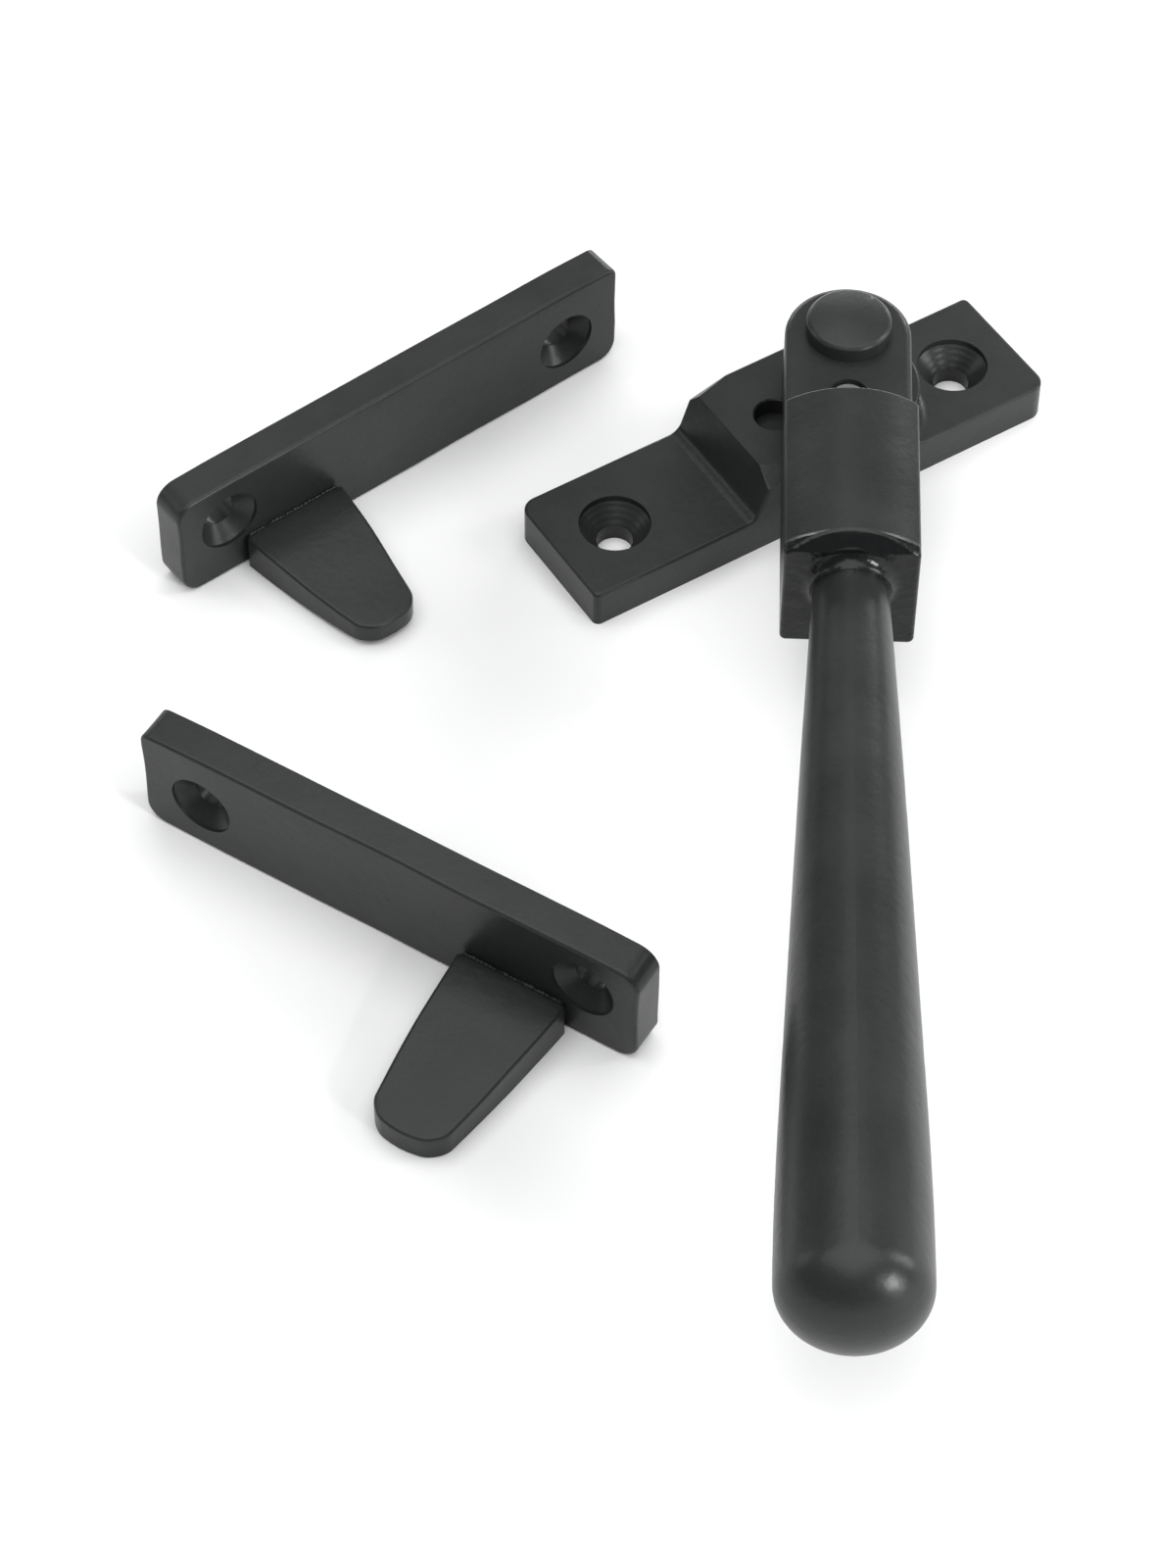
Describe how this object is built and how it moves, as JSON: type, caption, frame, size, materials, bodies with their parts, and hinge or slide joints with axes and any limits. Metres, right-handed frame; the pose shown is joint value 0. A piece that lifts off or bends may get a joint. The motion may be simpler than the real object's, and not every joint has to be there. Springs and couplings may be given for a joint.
{
  "type": "locking casement window fastener with two hook keeps",
  "caption": "Black casement window fastener: riveted swing handle with locking grub screw on a cranked plate, with left and right hand wedge keeps.",
  "frame": {"origin": "midway between the two screw holes of the mounting plate, on the face that lies against the window", "axes": "+X along the mounting plate towards the pivot end, +Z away from the window, +Y across the plate"},
  "size_m": [0.1349, 0.1637, 0.0331],
  "materials": {
    "black_coat": "satin powder coat over a solid casting",
    "black_coat_handle": "satin powder coat over a solid casting, glossier in the neck",
    "black_coat_rivet": "satin powder coat over a steel rivet head",
    "black_coat_keep": "satin powder coat over steel, hand finished edges",
    "bare_steel": "bright zinc plated steel"
  },
  "bodies": {
    "plate": {"mounting_plate": "black_coat", "pivot_rivet": "black_coat_rivet", "friction_washer": "bare_steel", "tail_washer": "bare_steel"},
    "handle": {"handle": "black_coat_handle"},
    "grub_screw": {"locking_grub_screw": "bare_steel"},
    "keep_left": {"keep_left_plate": "black_coat_keep", "keep_left_tongue": "black_coat_keep"},
    "keep_right": {"keep_right_plate": "black_coat_keep", "keep_right_tongue": "black_coat_keep"}
  },
  "joints": [
    {"name": "handle_swing", "type": "hinge", "parent": "plate", "child": "handle", "pos_m": [0.0089, 0, 0.0172], "axis": [0, 0, 1], "range_deg": [-55.9, 124.1]},
    {"name": "grub_screw_travel", "type": "slide", "parent": "handle", "child": "grub_screw", "axis": [0, 0, 1], "range_m": [-0.001, 0.003]},
    {"name": "keep_left_lift_away", "type": "slide", "parent": "plate", "child": "keep_left", "axis": [0, 1, 0], "range_m": [0, 0.08]},
    {"name": "keep_right_lift_away", "type": "slide", "parent": "plate", "child": "keep_right", "axis": [-1, 0, 0], "range_m": [0, 0.1]}
  ]
}
